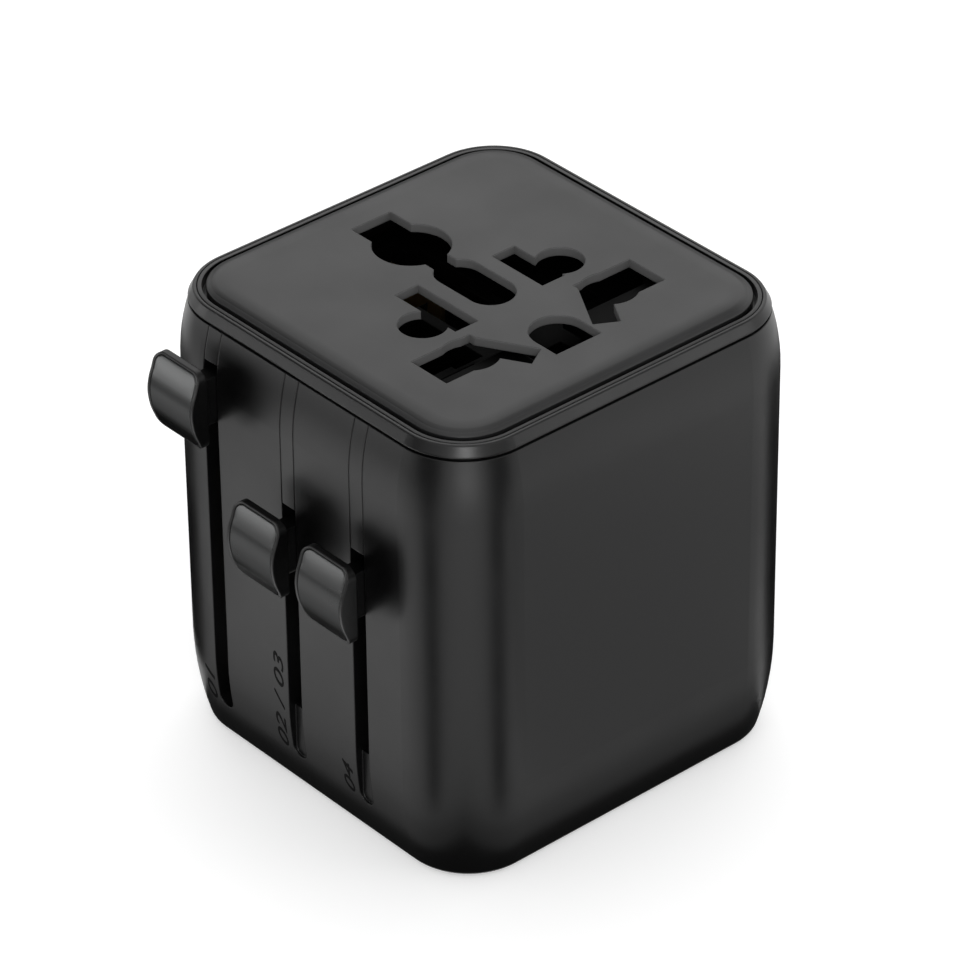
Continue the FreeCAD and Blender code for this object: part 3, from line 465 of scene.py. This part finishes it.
def lamp(name, azimuth, elevation, width, height, power):
    """A soft box that faces the middle of the object. Azimuth is in degrees from +X towards +Y."""
    data = bpy.data.lights.new(name, "AREA")
    data.shape = "RECTANGLE"
    data.size = width
    data.size_y = height
    data.energy = power
    a = math.radians(azimuth)
    e = math.radians(elevation)
    away = LAMP_DISTANCE * Vector((math.cos(a) * math.cos(e), math.sin(a) * math.cos(e), math.sin(e)))
    box = bpy.data.objects.new(name, data)
    box.location = LAMP_AIM + away
    box.rotation_euler = (-away).to_track_quat("-Z", "Y").to_euler()
    bpy.context.scene.collection.objects.link(box)


def make_lights():
    make_world()
    lamp("camera_side", azimuth=-39.0, elevation=27.0, width=0.24, height=0.24, power=2.0)
    lamp("right_side", azimuth=34.0, elevation=17.0, width=0.42, height=0.26, power=0.60)
    lamp("back", azimuth=139.0, elevation=50.0, width=1.2, height=0.9, power=2.5)


# Studio cards, which give the black plastic its dark edges and its soft highlights

def card(name, grey, corners):
    """A card that only shows in reflections. A grey of 1 is as bright as the world."""
    tree = new_material(name + "_card")
    glow = tree.add("ShaderNodeEmission", {"Color": (grey, grey, grey, 1.0)})
    tree.link(glow.outputs["Emission"], tree.out.inputs["Surface"])
    mesh = bpy.data.meshes.new(name)
    mesh.from_pydata([tuple(v * MM for v in corner) for corner in corners], [], [tuple(range(len(corners)))])
    mesh.materials.append(tree.owner)
    obj = bpy.data.objects.new(name, mesh)
    bpy.context.scene.collection.objects.link(obj)
    obj.visible_camera = False
    obj.visible_diffuse = False
    obj.visible_transmission = False
    obj.visible_volume_scatter = False
    obj.visible_shadow = False


def arc(centre, reach, from_azimuth, to_azimuth):
    """Points at equal steps round a centre. Azimuth is in degrees from +X towards +Y."""
    turn = to_azimuth - from_azimuth
    angles = [math.radians(from_azimuth + turn * i / ARC_STEPS) for i in range(ARC_STEPS + 1)]
    return [(centre[0] + reach * math.cos(a), centre[1] + reach * math.sin(a)) for a in angles]


def wall(name, grey, from_azimuth, to_azimuth, low, high):
    """Cards that stand round the object on an arc, between two heights."""
    places = arc((0.0, 0.0), WALL_REACH, from_azimuth, to_azimuth)
    for i, (start, end) in enumerate(zip(places, places[1:])):
        card(f"{name}_{i}", grey, [(*start, low), (*end, low), (*end, high), (*start, high)])


def fan(name, grey, apex, from_azimuth, to_azimuth, reach=500.0, height=0.3):
    """A card just above the floor that widens from a point beside the object."""
    places = [apex, *arc(apex, reach, from_azimuth, to_azimuth)]
    card(name, grey, [(x, y, height) for x, y in places])


def skirt(name, grey, inner, outer, height):
    """Cards just above the floor, in a band along the object's foot: painted shade, darker near the foot,
    that stands in for the object's own shadow on the floor where it shows in reflections.

    Only the right side, which is side 0, and the front, three quarter turns on, have them.
    """
    for side in (0, 3):
        a = math.radians(90.0 * side)
        c = math.cos(a)
        s = math.sin(a)
        points = [(inner, -inner), (outer, -outer), (outer, outer), (inner, inner)]
        card(f"{name}_{side}", grey, [(x * c - y * s, x * s + y * c, height) for x, y in points])


def make_cards():
    """Each card has its name, its grey and its place.

    The place of a fan is its apex and two azimuths, of a skirt two edges and a height, and of a wall two
    azimuths and two heights.
    """
    fan("flag_back", 0.0, (22.0, 22.0), 68.0, 139.0, reach=95.0)
    fan("flag_back_left", 0.0, (-22.0, -30.0), 139.0, 201.0, reach=95.0)
    fan("strip_front", 0.0, (20.0, -25.0), -99.0, -76.0)
    fan("strip_right", 0.0, (25.0, -19.0), -10.0, 12.0)
    fan("card_right", 0.66, (27.0, -8.0), 12.0, 76.0, reach=85.0, height=0.2)
    # Painted shade: the skirts darken the floor's reflection towards the object's foot, in place of its
    # shadow.
    skirt("skirt_dark", 0.04, 20.0, 26.0, 0.5)
    skirt("skirt_mid", 0.35, 26.0, 30.5, 0.4)
    skirt("skirt_light", 0.74, 30.5, 36.0, 0.35)
    wall("wall_low", 0.2, -156.0, -100.0, 0.5, 22.0)
    wall("wall_left", 0.05, -160.0, -98.0, 76.0, 130.0)
    wall("wall_high", 0.4, -206.0, -100.0, 165.0, 260.0)
    wall("wall_top", 0.8, -206.0, -100.0, 260.0, 430.0)
    wall("wall_high_left", 0.15, -182.0, -100.0, 130.0, 165.0)
    wall("wall_high_right", 0.2, 50.0, 124.0, 188.0, 400.0)
    wall("wall_front", 0.0, -98.0, -66.0, 0.5, 92.0)
    wall("wall_right", 0.0, -15.0, 12.0, 0.5, 92.0)
    wall("wall_right_high", 0.0, 12.0, 22.0, 60.0, 110.0)
    wall("glow_front", 3.2, -50.0, -28.0, 3.0, 55.0)
    wall("glow_left", 4.0, -146.0, -117.0, 46.0, 74.0)
    wall("wall_back", 0.1, 105.0, 190.0, 20.0, 66.0)


bpy.context.scene.view_settings.view_transform = "Standard"
make_camera()
make_materials()
make_springs()
make_numbers()
make_floor()
make_lights()
make_cards()
